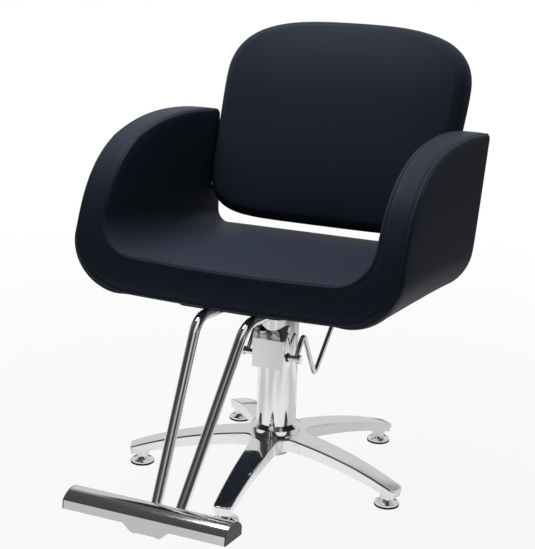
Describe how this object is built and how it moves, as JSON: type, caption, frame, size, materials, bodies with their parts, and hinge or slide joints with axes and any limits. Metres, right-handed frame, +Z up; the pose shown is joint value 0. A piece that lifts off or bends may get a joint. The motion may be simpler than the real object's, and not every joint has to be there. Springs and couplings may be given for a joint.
{
  "type": "styling chair",
  "caption": "Salon styling chair: black padded tub with rounded arms, leaning backrest, lifting column with foot lever, star base and tube footrest.",
  "frame": {"origin": "the point on the floor under the column axis, midway between the five glides", "axes": "+Z up along the column, +Y towards the chair's back, +X to the sitter's left; the chair stands at its lowest height, facing -Y"},
  "size_m": [0.6392, 0.8913, 0.8429],
  "materials": {
    "vinyl": "satin",
    "plywood": "matte",
    "chrome": "polished",
    "polished_casting": "polished",
    "brushed_bar": "satin",
    "zinc_plate": "satin",
    "black_steel": "satin",
    "iron": "matte",
    "bronze": "satin",
    "grey_plastic": "matte",
    "rubber": "matte"
  },
  "bodies": {
    "base": {"base_star": "polished_casting", "base_nut": "zinc_plate", "pump_cylinder": "zinc_plate", "foot_plug": "zinc_plate", "pump_block": "iron", "guide_bush": "bronze", "rod_seal": "rubber", "column_sleeve": "chrome", "sleeve_cap": "grey_plastic", "lever_housing": "chrome", "pedal_bushes": "grey_plastic", "plunger_spring": "zinc_plate"},
    "ram": {"ram_rod": "chrome", "piston": "zinc_plate", "piston_seal": "rubber", "ram_collar": "zinc_plate", "thrust_washer": "grey_plastic"},
    "seat": {"seat_pad": "vinyl", "arm_pad_left": "vinyl", "arm_pad_right": "vinyl", "seat_board": "plywood", "arm_panel_left": "plywood", "arm_panel_right": "plywood", "arm_brackets_left": "zinc_plate", "arm_brackets_right": "zinc_plate", "backrest_pad": "vinyl", "backrest_board": "plywood", "backrest_bolts": "zinc_plate", "backrest_spacers": "zinc_plate", "seat_plate": "black_steel", "seat_socket": "black_steel", "flange_bolts": "zinc_plate", "clamp_bolts": "zinc_plate", "footrest_tube_left": "chrome", "footrest_tube_right": "chrome", "footrest_clamp_left": "zinc_plate", "footrest_clamp_right": "zinc_plate", "footrest_bar": "brushed_bar", "footrest_cap_left": "grey_plastic", "footrest_cap_right": "grey_plastic", "footrest_saddle": "brushed_bar"},
    "pedal": {"pedal_pin": "chrome", "pin_collars": "chrome", "pedal_lever": "chrome", "pedal_cam": "zinc_plate"},
    "plunger": {"plunger": "zinc_plate"},
    "glide_1": {"glide_pad_1": "rubber", "glide_foot_1": "chrome"},
    "glide_2": {"glide_pad_2": "rubber", "glide_foot_2": "chrome"},
    "glide_3": {"glide_pad_3": "rubber", "glide_foot_3": "chrome"},
    "glide_4": {"glide_pad_4": "rubber", "glide_foot_4": "chrome"},
    "glide_5": {"glide_pad_5": "rubber", "glide_foot_5": "chrome"}
  },
  "joints": [
    {"name": "seat_lift", "type": "slide", "parent": "base", "child": "ram", "axis": [0, 0, 1], "range_m": [0, 0.13]},
    {"name": "seat_swivel", "type": "hinge", "parent": "ram", "child": "seat", "pos_m": [0, 0, 0.34], "axis": [0, 0, 1], "continuous": true},
    {"name": "pedal_press", "type": "hinge", "parent": "base", "child": "pedal", "pos_m": [0, -0.031, 0.24], "axis": [-1, 0, 0], "range_deg": [0, 22], "stiffness_Nm_per_rad": 3, "springref_deg": -20.05},
    {"name": "plunger_stroke", "type": "slide", "parent": "base", "child": "plunger", "axis": [0, 0, -1], "range_m": [0, 0.0045], "deforming": ["plunger_spring"]},
    {"name": "glide_level_1", "type": "slide", "parent": "base", "child": "glide_1", "axis": [0, 0, -1], "range_m": [0, 0.008]},
    {"name": "glide_level_2", "type": "slide", "parent": "base", "child": "glide_2", "axis": [0, 0, -1], "range_m": [0, 0.008]},
    {"name": "glide_level_3", "type": "slide", "parent": "base", "child": "glide_3", "axis": [0, 0, -1], "range_m": [0, 0.008]},
    {"name": "glide_level_4", "type": "slide", "parent": "base", "child": "glide_4", "axis": [0, 0, -1], "range_m": [0, 0.008]},
    {"name": "glide_level_5", "type": "slide", "parent": "base", "child": "glide_5", "axis": [0, 0, -1], "range_m": [0, 0.008]}
  ],
  "couplings": [
    {"joint": "plunger_stroke", "follows": "pedal_press", "m_per_rad": 0.0109}
  ]
}
